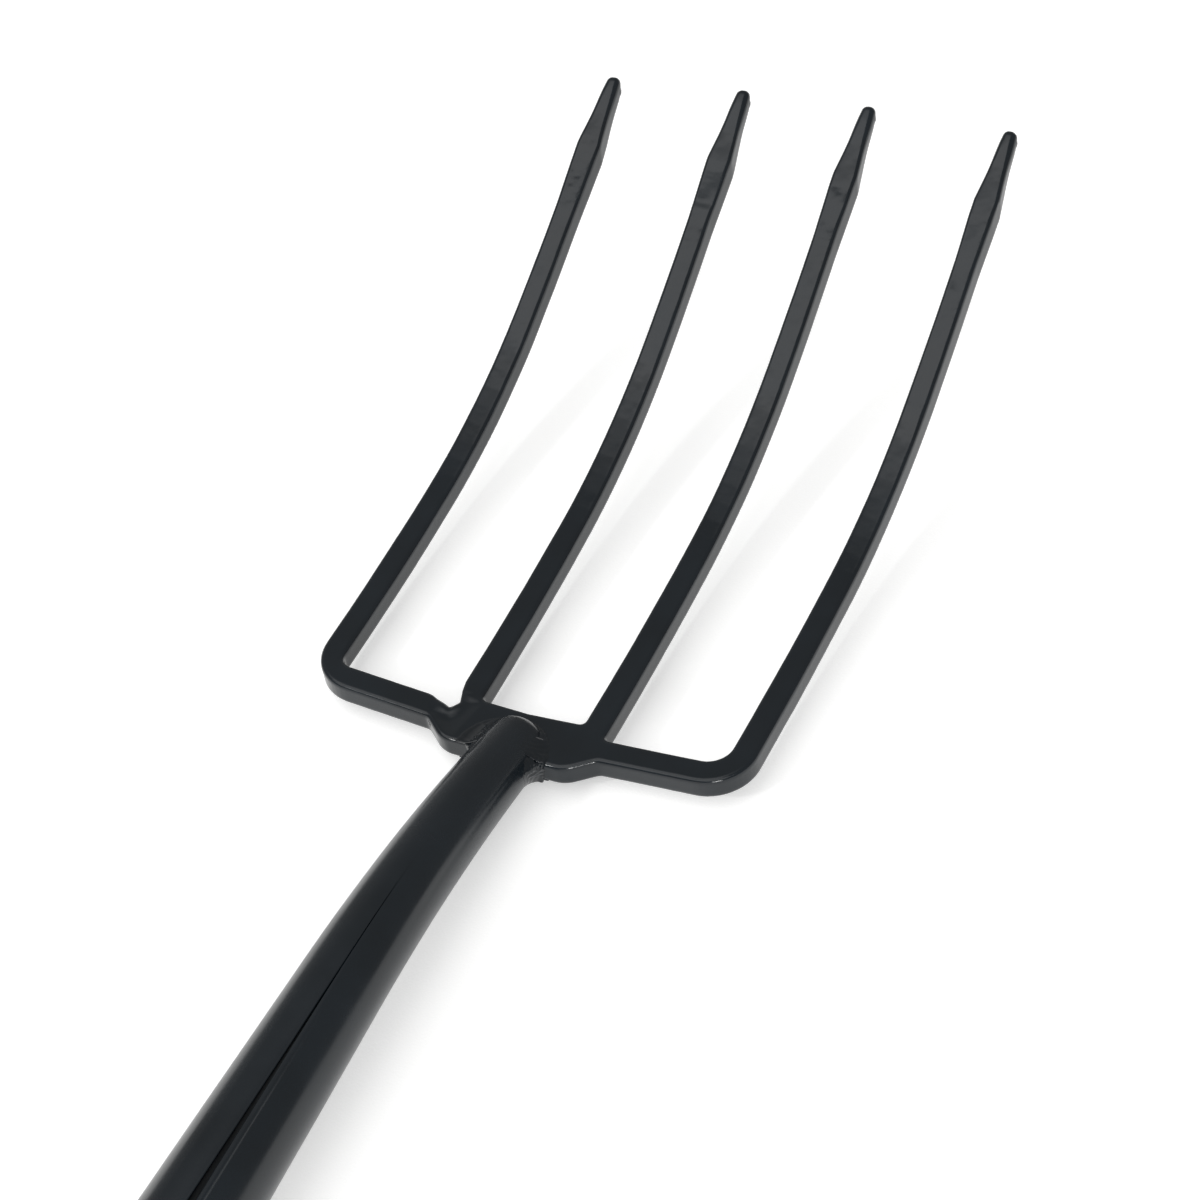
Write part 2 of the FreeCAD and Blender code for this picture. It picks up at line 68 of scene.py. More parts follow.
def addNode(tree, kind, inputs=None, stops=None, **settings):
    # inputs are values or other nodes' sockets; stops are a colour ramp's places and colours
    node = tree.nodes.new(kind)
    for name, value in settings.items():
        setattr(node, name, value)
    for name, value in (inputs or {}).items():
        if isinstance(value, bpy.types.NodeSocket):
            tree.links.new(value, node.inputs[name])
        else:
            node.inputs[name].default_value = value
    if stops:
        marks = node.color_ramp.elements
        while len(marks) < len(stops):
            marks.new(1)
        for mark, (position, colour) in zip(marks, stops):
            mark.position = position
            mark.color = colour if isinstance(colour, list) else [colour, colour, colour, 1]
    return node


def newMaterial(name):
    material = bpy.data.materials.new(name)
    material.use_nodes = True
    tree = material.node_tree
    tree.nodes.clear()
    return material, tree, addNode(tree, "ShaderNodeTexCoord").outputs["Object"]


# Black stoving enamel, sprayed over steel. It is a dielectric: nearly black with a little blue in
# it, under a clear gloss that is slightly uneven, like thin orange peel, and hides no dent.
def blackEnamel(name, look):
    material, tree, place = newMaterial(name)
    cloud = addNode(tree, "ShaderNodeTexNoise", {
        "Vector": place, "Scale": 1 / (look["cloudSize"] * mm), "Detail": 4, "Roughness": 0.55})
    colour = addNode(tree, "ShaderNodeValToRGB", {"Fac": cloud.outputs["Fac"]},
                     stops=[(0.3, toLinear(look["deep"])), (0.7, toLinear(look["pale"]))])
    haze = addNode(tree, "ShaderNodeValToRGB", {"Fac": cloud.outputs["Fac"]},
                   stops=[(0.3, look["glossy"]), (0.7, look["hazy"])])
    peel = addNode(tree, "ShaderNodeTexNoise", {
        "Vector": place, "Scale": 1 / (look["peelSize"] * mm), "Detail": 2})
    scale = addNode(tree, "ShaderNodeTexNoise", {
        "Vector": place, "Scale": 1 / (look["scaleSize"] * mm), "Detail": 5, "Roughness": 0.6})
    skin = addNode(tree, "ShaderNodeBump", {
        "Height": peel.outputs["Fac"], "Distance": look["peelDepth"] * mm, "Strength": 1})
    steel = addNode(tree, "ShaderNodeBump", {
        "Height": scale.outputs["Fac"], "Distance": look["scaleDepth"] * mm, "Strength": 1,
        "Normal": skin.outputs["Normal"]})
    shader = addNode(tree, "ShaderNodeBsdfPrincipled", {
        "Base Color": colour.outputs["Color"], "Roughness": haze.outputs["Color"], "IOR": 1.46,
        "Normal": steel.outputs["Normal"]})
    addNode(tree, "ShaderNodeOutputMaterial", {"Surface": shader.outputs["BSDF"]})
    return material


# Ash, turned, sanded and oiled: pale straw wood whose rings show as long arches of coarse dark
# pores, with a soft satin shine. The tenon is coloured near-black: painted shade in the open seam.
def oiledAsh(name, look, seamShadeFromY):
    material, tree, place = newMaterial(name)
    lean = addNode(tree, "ShaderNodeMapping", {
        "Vector": place, "Location": (look["heartAside"] * mm, 0, look["heartBelow"] * mm),
        "Rotation": (math.radians(look["grainRunOut"]), 0, math.radians(look["grainRunOut"]))})
    long = addNode(tree, "ShaderNodeMapping", {
        "Vector": place, "Scale": (1 / (look["swaySize"] * mm), 1 / (look["swayLength"] * mm),
                                   1 / (look["swaySize"] * mm))})
    sway = addNode(tree, "ShaderNodeTexNoise", {
        "Vector": long.outputs["Vector"], "Scale": 1, "Detail": 3})
    swayed = addNode(tree, "ShaderNodeVectorMath", {
        0: sway.outputs["Color"], 1: [look["swayDepth"] * mm] * 3, 2: lean.outputs["Vector"]},
        operation="MULTIPLY_ADD")
    across = addNode(tree, "ShaderNodeVectorMath", {0: swayed.outputs["Vector"], 1: (1, 0, 1)},
                     operation="MULTIPLY")
    fromHeart = addNode(tree, "ShaderNodeVectorMath", {0: across.outputs["Vector"]},
                        operation="LENGTH")
    rings = addNode(tree, "ShaderNodeMath", {
        0: fromHeart.outputs["Value"], 1: 1 / (look["ringWidth"] * mm)}, operation="MULTIPLY")
    season = addNode(tree, "ShaderNodeMath", {0: rings.outputs["Value"]}, operation="FRACT")
    early = addNode(tree, "ShaderNodeValToRGB", {"Fac": season.outputs["Value"]},
                    stops=[(0.0, 0.9), (0.2, 1.0), (0.45, 0.15), (0.9, 0.0), (1.0, 0.9)])
    strands = addNode(tree, "ShaderNodeMapping", {
        "Vector": place, "Scale": (1 / (look["poreWidth"] * mm), 1 / (look["poreLength"] * mm),
                                   1 / (look["poreWidth"] * mm))})
    fibre = addNode(tree, "ShaderNodeTexNoise", {
        "Vector": strands.outputs["Vector"], "Scale": 1, "Detail": 3, "Roughness": 0.7})
    pore = addNode(tree, "ShaderNodeValToRGB", {"Fac": fibre.outputs["Fac"]},
                   stops=[(0.5, 0.0), (0.64, 1.0)])
    openPore = addNode(tree, "ShaderNodeMath", {
        0: pore.outputs["Color"], 1: early.outputs["Color"]}, operation="MULTIPLY")
    # Mix's colour sockets are its seventh and eighth inputs and third output
    ringed = addNode(tree, "ShaderNodeMix", {
        0: early.outputs["Color"], 6: toLinear(look["pale"]), 7: toLinear(look["ring"])},
        data_type="RGBA")
    pored = addNode(tree, "ShaderNodeMix", {
        0: openPore.outputs["Value"], 6: ringed.outputs[2], 7: toLinear(look["pore"])},
        data_type="RGBA")
    blotch = addNode(tree, "ShaderNodeTexNoise", {
        "Vector": long.outputs["Vector"], "Scale": 3, "Detail": 3})
    stain = addNode(tree, "ShaderNodeValToRGB", {"Fac": blotch.outputs["Fac"]},
                    stops=[(0.3, 1.0), (0.75, toLinear(look["handling"]))])
    handled = addNode(tree, "ShaderNodeMix", {
        0: 1.0, 6: pored.outputs[2], 7: stain.outputs["Color"]},
        data_type="RGBA", blend_type="MULTIPLY")
    along = addNode(tree, "ShaderNodeSeparateXYZ", {"Vector": place})
    # painted shade: from the socket's mouth on, the wood is coloured near-black, so the tenon shows
    # dark through the open seam
    seamShaded = addNode(tree, "ShaderNodeMapRange", {
        "Value": along.outputs["Y"], "From Min": seamShadeFromY, "From Max": seamShadeFromY + mm})
    colour = addNode(tree, "ShaderNodeMix", {
        0: seamShaded.outputs["Result"], 6: handled.outputs[2], 7: toLinear(look["seamShade"])},
        data_type="RGBA")
    rough = addNode(tree, "ShaderNodeValToRGB", {"Fac": openPore.outputs["Value"]},
                    stops=[(0.0, look["satin"]), (1.0, look["dull"])])
    relief = addNode(tree, "ShaderNodeBump", {
        "Height": openPore.outputs["Value"], "Distance": look["poreDepth"] * mm, "Strength": 1},
        invert=True)
    shader = addNode(tree, "ShaderNodeBsdfPrincipled", {
        "Base Color": colour.outputs[2], "Roughness": rough.outputs["Color"], "IOR": 1.46,
        "Normal": relief.outputs["Normal"]})
    addNode(tree, "ShaderNodeOutputMaterial", {"Surface": shader.outputs["BSDF"]})
    return material


# Low-carbon steel wire, cold headed and left bare: grey metal, dulled by a thin oxide, brighter
# where the hammer or the screwdriver has touched it.
def bareSteel(name, look):
    material, tree, place = newMaterial(name)
    cloud = addNode(tree, "ShaderNodeTexNoise", {
        "Vector": place, "Scale": 1 / (look["cloudSize"] * mm), "Detail": 5, "Roughness": 0.6})
    colour = addNode(tree, "ShaderNodeValToRGB", {"Fac": cloud.outputs["Fac"]},
                     stops=[(0.35, toLinear(look["oxide"])), (0.65, toLinear(look["bright"]))])
    rough = addNode(tree, "ShaderNodeValToRGB", {"Fac": cloud.outputs["Fac"]},
                    stops=[(0.35, look["dull"]), (0.65, look["worn"])])
    scratch = addNode(tree, "ShaderNodeTexNoise", {
        "Vector": place, "Scale": 1 / (look["markSize"] * mm), "Detail": 3, "Distortion": 1})
    relief = addNode(tree, "ShaderNodeBump", {
        "Height": scratch.outputs["Fac"], "Distance": look["markDepth"] * mm, "Strength": 1})
    shader = addNode(tree, "ShaderNodeBsdfPrincipled", {
        "Base Color": colour.outputs["Color"], "Metallic": 1.0, "Roughness": rough.outputs["Color"],
        "Normal": relief.outputs["Normal"]})
    addNode(tree, "ShaderNodeOutputMaterial", {"Surface": shader.outputs["BSDF"]})
    return material


headEnamel = blackEnamel("black_enamel_over_forged_steel", {
    "deep": "#0a1116", "pale": "#10181e", "cloudSize": 30, "glossy": 0.11, "hazy": 0.19,
    "peelSize": 1.6, "peelDepth": 0.01, "scaleSize": 5.5, "scaleDepth": 0.035})
socketEnamel = blackEnamel("black_enamel_over_rolled_steel", {
    "deep": "#0a1116", "pale": "#10181e", "cloudSize": 40, "glossy": 0.18, "hazy": 0.3,
    "peelSize": 1.4, "peelDepth": 0.01, "scaleSize": 9, "scaleDepth": 0.03})
weldEnamel = blackEnamel("black_enamel_over_weld", {
    "deep": "#090f13", "pale": "#0d141a", "cloudSize": 12, "glossy": 0.06, "hazy": 0.12,
    "peelSize": 1.2, "peelDepth": 0.01, "scaleSize": 2, "scaleDepth": 0.06})
# the handle's near-black tenon colour is painted shade for the inside of the socket's open seam
ash = oiledAsh("ash_turned_and_oiled", {
    "pale": "#dfc59a", "ring": "#b98e5c", "pore": "#7a5732", "handling": "#e3cfae", "seamShade": "#15181a",
    "ringWidth": 3.6, "heartAside": 31, "heartBelow": 22, "grainRunOut": 0.9,
    "swaySize": 55, "swayLength": 420, "swayDepth": 16, "poreWidth": 0.5, "poreLength": 16,
    "poreDepth": 0.06, "satin": 0.38, "dull": 0.55}, socketLow.y)
rivetSteel = bareSteel("steel_rivet_hammered", {
    "oxide": "#5b5751", "bright": "#a9a8a4", "cloudSize": 3, "dull": 0.5, "worn": 0.28,
    "markSize": 1.2, "markDepth": 0.05})
screwSteel = bareSteel("steel_screw_zinc_plated", {
    "oxide": "#8b8d8d", "bright": "#c3c5c5", "cloudSize": 2, "dull": 0.42, "worn": 0.25,
    "markSize": 0.6, "markDepth": 0.02})
print("materials made")


def addPiece(name, mesh, material, node):
    for polygon in mesh.polygons:
        polygon.use_smooth = True
    mesh.materials.clear()
    mesh.materials.append(material)
    piece = bpy.data.objects.new(name, mesh)
    bpy.context.scene.collection.objects.link(piece)
    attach(piece, "root")
    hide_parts(node)
    return piece


def workPiece(mesh):
    # an object that only lends its modifiers, until applied takes it away again
    piece = bpy.data.objects.new("work", mesh)
    bpy.context.scene.collection.objects.link(piece)
    return piece


def applied(piece):
    # the mesh with the piece's modifiers worked in, and the working piece removed
    finished = piece.evaluated_get(bpy.context.evaluated_depsgraph_get())
    mesh = bpy.data.meshes.new_from_object(finished)
    bpy.data.objects.remove(piece)
    return mesh


def softened(mesh, voxel=0, rounds=0):
    # the mesh, made again of even faces where a voxel size is given, then smoothed so many times
    piece = workPiece(mesh)
    if voxel:
        remesh = piece.modifiers.new("even", "REMESH")
        remesh.mode = "VOXEL"
        remesh.voxel_size = voxel * mm
    smooth = piece.modifiers.new("round", "SMOOTH")
    smooth.factor = 0.5
    smooth.iterations = rounds
    return applied(piece)


def press(mesh, depthAt):
    # moves each point along its own normal by the millimetres that depthAt gives
    moves = []
    for vertex in mesh.vertices:
        moves.append(vertex.normal * (depthAt(vertex.co / mm, vertex.normal) * mm))
    for vertex, move in zip(mesh.vertices, moves):
        vertex.co += move
    mesh.update()


def largestPart(mesh):
    # the mesh without the crumbs that a remesh can leave beside it
    shape = bmesh.new()
    shape.from_mesh(mesh)
    waiting = set(shape.verts)
    parts = []
    while waiting:
        part = {waiting.pop()}
        edge = set(part)
        while edge:
            edge = {e.other_vert(v) for v in edge for e in v.link_edges} & waiting
            waiting -= edge
            part |= edge
        parts.append(part)
    parts.sort(key=len)
    crumbs = [vertex for part in parts[:-1] for vertex in part]
    bmesh.ops.delete(shape, geom=crumbs, context="VERTS")
    shape.to_mesh(mesh)
    shape.free()
    return mesh


def surfaceOf(mesh):
    # a tree that finds the nearest point on the mesh
    return bvhtree.BVHTree.FromPolygons([v.co for v in mesh.vertices],
                                        [p.vertices[:] for p in mesh.polygons])


def joinRows(shape, rows):
    # faces from each closed row of points to the next; a row of one repeated point gives triangles
    for near, far in zip(rows, rows[1:]):
        for i in range(len(near)):
            j = (i + 1) % len(near)
            shape.faces.new(list(dict.fromkeys((near[i], near[j], far[j], far[i]))))


def meshFrom(shape, name):
    bmesh.ops.recalc_face_normals(shape, faces=shape.faces)
    mesh = bpy.data.meshes.new(name)
    shape.to_mesh(mesh)
    shape.free()
    return mesh


# Forged head: the bars' edges are rounded by the hammer and the paint, and the points end in
# small domes, where the paint ran down and set thicker. The faces keep the shallow marks of the
# hammer, which show most where the tines rise. Each front face is a little thinner from a step
# up to its point; `steps` holds that step's distance from the tip, run and depth for each tine.
forging = {
    "voxel": 0.78, "evenings": 4, "edge": 1.5, "dome": 1.8, "domeFrom": (3.0, 16.0),
    "softSpot": (-32.5, 17.0), "softReach": 9.0, "softEdge": 3.4,
    "paint": 0.2, "drop": 0.55, "dropFrom": (2.0, 22.0),
    "waveSize": 26, "waveDepth": 0.1, "markSize": 8, "markLength": 1.6, "markDepth": 0.17,
    "fineMarkSize": 2.3, "fineMarkShare": 0.5, "marksOnFlat": 0.15, "scaleOnFlat": 0.3,
    "scaleSize": 2.4, "scaleDepth": 0.04, "marksFromHeight": (20, 42), "pointLength": 33,
    "tipFace": 2, "steps": ((58, 10, 0.25), (50, 4, 0.5), (44, 8, 0.35), (52, 10, 0.2)),
}


def tineTips(tines, face):
    # the middle of each tine's end: the tines stand in equal bands across the head
    corners = [vertex.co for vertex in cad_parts["forged_head"].data.vertices]
    width = headHigh.x - headLow.x
    tips = []
    for band in range(tines):
        inBand = [c for c in corners if band <= (c.x - headLow.x) / width * tines < band + 1]
        end = max(c.y for c in inBand)
        atEnd = [c for c in inBand if c.y > end - face * mm]
        tips.append(sum(atEnd, Vector()) / len(atEnd) / mm)
    return tips


def shrunk(source, radiusAt):
    # the surface of the shape with every face moved inwards by the rounding radius
    mesh = source.copy()
    corners = [tuple(round(c / mm, 3) for c in vertex.co) for vertex in mesh.vertices]
    facing = {}
    for polygon in mesh.polygons:
        for index in polygon.vertices:
            facing.setdefault(corners[index], []).append(list(polygon.normal))
    for vertex, corner in zip(mesh.vertices, corners):
        # rcond lets the nearly parallel facets of one curve count as a single face
        planes = numpy.array(facing[corner])
        inwards = numpy.linalg.lstsq(planes, -numpy.ones(len(planes)), rcond=0.1)[0]
        vertex.co += Vector(inwards) * (radiusAt(Vector(corner)) * mm)
    return surfaceOf(mesh)


def rounded(source, radiusAt, voxel, evenings):
    # an even fine mesh whose edges are rounded as if a ball had rolled inside the shape
    core = shrunk(source, radiusAt)
    mesh = softened(source.copy(), voxel=voxel)
    for turn in range(evenings + 1):
        if turn:
            mesh = softened(mesh, rounds=2)
        for vertex in mesh.vertices:
            centre = core.find_nearest(vertex.co)[0]
            vertex.co = centre + (vertex.co - centre).normalized() * (radiusAt(centre / mm) * mm)
        mesh.update()
    return mesh


def forgeHead(sizes):
    tines = len(sizes["steps"])
    tips = tineTips(tines, sizes["tipFace"])
    bandWidth = (headHigh.x - headLow.x) / tines / mm
    left = headLow.x / mm

    def fromTip(point):
        band = min(tines - 1, max(0, int((point.x - left) / bandWidth)))
        return (tips[band] - point).length, sizes["steps"][band]

    aside, beyond = sizes["softSpot"]
    spotX, spotY = (headLow.x + headHigh.x) / 2 / mm + aside, headLow.y / mm + beyond

    def radiusAt(point):
        atTip = 1 - smoothStep(*sizes["domeFrom"], fromTip(point)[0])
        atSpot = 1 - smoothStep(0, sizes["softReach"], math.hypot(point.x - spotX, point.y - spotY))
        edge = sizes["edge"]
        return edge + (sizes["dome"] - edge) * atTip + (sizes["softEdge"] - edge) * atSpot

    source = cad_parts["forged_head"].data
    mesh = rounded(source, radiusAt, sizes["voxel"], sizes["evenings"])

    def depthAt(point, normal):
        depth = sizes["paint"] + sizes["waveDepth"] * noise.noise(point / sizes["waveSize"])
        front = max(0, normal.z) ** 2
        rise = smoothStep(*sizes["marksFromHeight"], point.z)
        spot = Vector((point.x, point.y / sizes["markLength"], 0)) / sizes["markSize"]
        fineMark = noise.noise(spot * sizes["fineMarkSize"])
        mark = noise.noise(spot) + sizes["fineMarkShare"] * fineMark
        onFlat = sizes["marksOnFlat"]
        depth += sizes["markDepth"] * mark * front * (onFlat + (1 - onFlat) * rise)
        onFlat = sizes["scaleOnFlat"]
        scale = noise.noise(point / sizes["scaleSize"])
        depth += sizes["scaleDepth"] * scale * (onFlat + (1 - onFlat) * rise * front)
        distance, (stepAt, stepRun, stepDepth) = fromTip(point)
        depth += sizes["drop"] * (1 - smoothStep(*sizes["dropFrom"], distance))
        if distance > stepAt:
            pressed = 1 - smoothStep(stepAt, stepAt + stepRun, distance)
        else:
            pressed = smoothStep(sizes["pointLength"], stepAt, distance)
        return depth - stepDepth * front * pressed

    press(mesh, depthAt)
    for vertex in mesh.vertices:
        # the paint stays inside the forging's own box
        vertex.co = Vector(min(max(place, low), high)
                           for place, low, high in zip(vertex.co, headLow, headHigh))
    return mesh


head = addPiece("forged_tine_head", forgeHead(forging), headEnamel, "forged_head")
print("head forged,", len(head.data.polygons), "faces")


# Socket: sheet rolled into a cone round the handle, with an open seam near the mouth that closes
# to a line, and a blunt nose slit to straddle the hub. The seam's left edge was rolled in deeper
# than the right one, which stands up and catches the light. How open the seam is runs from 1 at
# the mouth to 0 where it closes: `lipsFrom`, `lipFade` and `sinkFrom` are in that measure.
rolling = {
    "wall": 2.0, "straight": 145.0, "bendRadius": 600.0, "bendAngle": 13.3,
    "noseRadius": 12.6, "noseLength": 9.0, "noseRings": 14, "ringStep": 1.4,
    "noseShare": 0.985, "leastBore": 0.4, "rim": 0.7, "rimSteps": 6,
    "seamTurn": 17.0, "seamGap": 3.6, "seamOpen": 143.0, "hairline": 0.005,
    "leftLip": 0.9, "rightLip": 1.6, "lipAtLine": 0.3, "lipAtNose": 0.01,
    "sinkDepth": 1.4, "sinkWidth": 9.0, "proudHeight": 0.8, "proudWidth": 1.8,
    "lipsFrom": (-0.35, 0.25), "lipFade": 0.5, "sinkFrom": (-0.1, 0.5),
    "outerPoints": 160, "crowding": 0.8, "lipPoints": 8,
    "facets": 13, "facetDepth": 0.05, "waveSize": 45, "waveDepth": 0.1,
    "creaseAt": 66.0, "creaseWidth": 6.0, "creaseDepth": 0.16, "creaseAlong": (150.0, 275.0),
    "creaseFades": (60.0, 20.0), "dripAt": -32.0, "dripWidth": 3.4, "dripHeight": 0.4,
    "dripAlong": 266.0, "dripLength": 7.0, "dripSteepness": 1.8,
}


def socketMark(angle, along, sizes):
    # a shallow crease pressed in beside the bend, and one thick run of paint near the nose
    first, last = sizes["creaseAlong"]
    rise, fall = sizes["creaseFades"]
    fade = smoothStep(first, first + rise, along) * (1 - smoothStep(last - fall, last, along))
    across = (angle - math.radians(sizes["creaseAt"])) / math.radians(sizes["creaseWidth"])
    depth = -sizes["creaseDepth"] * fade * math.exp(-across * across)
    across = (angle - math.radians(sizes["dripAt"])) / math.radians(sizes["dripWidth"])
    lengthwise = (along - sizes["dripAlong"]) / sizes["dripLength"]
    edge = 1 - across * across - lengthwise * lengthwise
    return depth + sizes["dripHeight"] * min(1, sizes["dripSteepness"] * math.sqrt(max(0, edge)))


def socketLine(along, sizes):
    # centre and heading of the socket's axis, and its outer radius, this far from the mouth
    bendLength = sizes["bendRadius"] * math.radians(sizes["bendAngle"])
    mouthRadius = (socketHigh.x - socketLow.x) / 2 / mm
    body = sizes["straight"] + bendLength
    radius = mouthRadius + (sizes["noseRadius"] - mouthRadius) * min(along, body) / body
    turned = min(max(along - sizes["straight"], 0), bendLength) / sizes["bendRadius"]
    y = min(along, sizes["straight"]) + sizes["bendRadius"] * math.sin(turned)
    z = -sizes["bendRadius"] * (1 - math.cos(turned))
    if along > body:
        beyond = along - body
        y += beyond * math.cos(turned)
        z -= beyond * math.sin(turned)
        radius *= math.sqrt(max(0, 1 - (beyond / sizes["noseLength"]) ** 2))
    centre = Vector((0, socketLow.y / mm + y, axisZ / mm + z))
    return centre, turned, radius


def socketRing(along, inset, sizes):
    # one closed C-shaped loop: round the outside, over one lip, back inside, over the other lip
    centre, turned, radius = socketLine(along, sizes)
    up = Vector((0, math.sin(turned), math.cos(turned)))
    inner = max(radius - sizes["wall"], radius * sizes["leastBore"])
    radius -= inset
    inner += inset
    wall = radius - inner
    openness = 1 - along / sizes["seamOpen"]
    gap = max(sizes["hairline"], sizes["seamGap"] * openness)
    rolledUp = smoothStep(*sizes["lipsFrom"], openness)
    atLine, atNose = sizes["lipAtLine"], sizes["lipAtNose"]
    lipNow = atLine + (atNose - atLine) * smoothStep(0, sizes["lipFade"], -openness)
    # a lip is never more than a third of the radius
    leftLip, rightLip = (min(lipNow + (sizes[side] - lipNow) * rolledUp, radius / 3)
                         for side in ("leftLip", "rightLip"))
    leftHalf, rightHalf = ((gap / 2 + lip) / max(radius, 1) for lip in (leftLip, rightLip))
    seam = math.radians(sizes["seamTurn"])
    opened = smoothStep(*sizes["sinkFrom"], openness)
    sink = min(sizes["sinkDepth"] * opened, wall / 2)
    proud = sizes["proudHeight"] * opened
    loop = []

    def place(angle, distance):
        loop.append(centre + (Vector((1, 0, 0)) * math.sin(angle) + up * math.cos(angle)) * distance)

    count = sizes["outerPoints"]
    span = 2 * math.pi - leftHalf - rightHalf
    # the points crowd towards both lips, where the sheet bends most
    shares = [step / count - sizes["crowding"] * math.sin(2 * math.pi * step / count) / (2 * math.pi)
              for step in range(count + 1)]
    for share in shares:
        angle = seam + rightHalf + span * share
        ripple = sizes["facetDepth"] * (math.cos(angle * sizes["facets"]) - 1) / 2
        swell = noise.noise(Vector((math.cos(angle), math.sin(angle), along / sizes["waveSize"])))
        turn = (angle + math.pi) % (2 * math.pi) - math.pi
        relief = ripple + sizes["waveDepth"] * (swell - 1) / 2 + socketMark(turn, along, sizes)
        toLip = (seam + 2 * math.pi - leftHalf - angle) * radius
        fromLip = (angle - seam - rightHalf) * radius
        raised = proud * (1 - smoothStep(0, sizes["proudWidth"], fromLip))
        sunk = sink * (1 - min(1, max(0, toLip / sizes["sinkWidth"])))
        place(angle, radius + raised - sunk + min(1, wall / 2) * relief)
    roundings = [math.radians(180 * (step + 1) / (sizes["lipPoints"] + 1))
                 for step in range(sizes["lipPoints"])]
    middle = (radius + inner) / 2
    leftMiddle, rightMiddle = middle - sink / 2, middle + proud / 2
    for turn in roundings:
        # a lip runs from the outer face over its edge to the inner face
        place(seam - leftHalf + leftLip / middle * math.sin(turn),
              leftMiddle + (wall - sink) / 2 * math.cos(turn))
    for share in shares:
        place(seam - leftHalf - span * share, inner)
    for turn in roundings[::-1]:
        place(seam + rightHalf - rightLip / middle * math.sin(turn),
              rightMiddle + (wall + proud) / 2 * math.cos(turn))
    return loop


def rollSocket(sizes):
    bendLength = sizes["bendRadius"] * math.radians(sizes["bendAngle"])
    body = sizes["straight"] + bendLength
    rim = sizes["rim"]
    # (distance from the mouth, inset of both faces): the rounded rim, the cone, the blunt nose
    stations = []
    for step in range(sizes["rimSteps"]):
        turn = math.radians(90 * step / sizes["rimSteps"])
        stations.append((rim * (1 - math.cos(turn)), rim * (1 - math.sin(turn))))
    rings = round(body / sizes["ringStep"])
    stations += [(rim + (body - rim) * step / rings, 0) for step in range(rings + 1)]
    noseEnd = sizes["noseLength"] * sizes["noseShare"]
    for step in range(sizes["noseRings"]):
        turn = math.radians(90 * (step + 1) / sizes["noseRings"])
        stations.append((body + noseEnd * math.sin(turn), 0))
    shape = bmesh.new()
    rows = [[shape.verts.new(point * mm) for point in socketRing(along, inset, sizes)]
            for along, inset in stations]
    joinRows(shape, rows)
    outer = sizes["outerPoints"]
    lips = sizes["lipPoints"]
    for row, flip in ((rows[0], False), (rows[-1], True)):
        outside = row[:outer + 1]
        inside = row[outer + 1 + lips:outer * 2 + 2 + lips][::-1]
        caps = [(outside[i], inside[i], inside[i + 1], outside[i + 1]) for i in range(outer)]
        caps.append([outside[-1]] + row[outer + 1:outer + 1 + lips] + [inside[-1]])
        caps.append([inside[0]] + row[outer * 2 + 2 + lips:] + [outside[0]])
        for cap in caps:
            shape.faces.new(list(reversed(cap)) if flip else cap)
    return meshFrom(shape, "rolled_socket")


def boxCutter(low, high):
    shape = bmesh.new()
    toPlace = Matrix.Translation((low + high) / 2) @ Matrix.Diagonal((*(high - low), 1))
    bmesh.ops.create_cube(shape, size=1, matrix=toPlace)
    return shape


def rodCutter(start, end, radius):
    shape = bmesh.new()
    turn = (end - start).to_track_quat("Z", "Y").to_matrix().to_4x4()
    toPlace = Matrix.Translation((start + end) / 2) @ turn
    bmesh.ops.create_cone(shape, cap_ends=True, segments=32, radius1=radius, radius2=radius,
                          depth=(end - start).length, matrix=toPlace)
    return shape


def cut(mesh, cutters):
    piece = workPiece(mesh)
    tools = []
    for shape in cutters:
        tool = workPiece(bpy.data.meshes.new("cutter"))
        shape.to_mesh(tool.data)
        shape.free()
        modifier = piece.modifiers.new("cut", "BOOLEAN")
        modifier.operation = "DIFFERENCE"
        modifier.object = tool
        tools.append(tool)
    result = applied(piece)
    for tool in tools:
        bpy.data.objects.remove(tool)
    return result


# The rivet's and the screw's holes, and the slit that the hub's plate fills.
fixing = {
    "rivetRadius": 3.0, "screwRadius": 2.2, "holeClearance": 0.05, "pastSocket": 1.2,
    "slitBeyond": 30.0, "hubThickness": 9.5,
}
rivetY = (rivetLow.y + rivetHigh.y) / 2
screwY = (screwLow.y + screwHigh.y) / 2


def fixingHoles():
    clearance = fixing["holeClearance"]
    left, right = (side * fixing["pastSocket"] for side in (socketLow.x, socketHigh.x))
    return [
        rodCutter(Vector((left, rivetY, axisZ)), Vector((right, rivetY, axisZ)),
                  (fixing["rivetRadius"] + clearance) * mm),
        rodCutter(Vector((0, screwY, screwLow.z)), Vector((0, screwY, screwHigh.z)),
                  (fixing["screwRadius"] + clearance) * mm)]


hubSlit = boxCutter(Vector((socketLow.x, headLow.y, headLow.z)),
                    Vector((socketHigh.x, headLow.y + fixing["slitBeyond"] * mm,
                            headLow.z + fixing["hubThickness"] * mm)))
rolled = rollSocket(rolling)
socketSurface = surfaceOf(rolled)
socket = addPiece("rolled_socket", cut(rolled, [hubSlit] + fixingHoles()), socketEnamel,
                  "socket")
# broad faces lead the shading, so the closed part of the seam does not show as a crease
socket.modifiers.new("even_shading", "WEIGHTED_NORMAL").weight = 50
print("socket rolled,", len(socket.data.polygons), "faces")


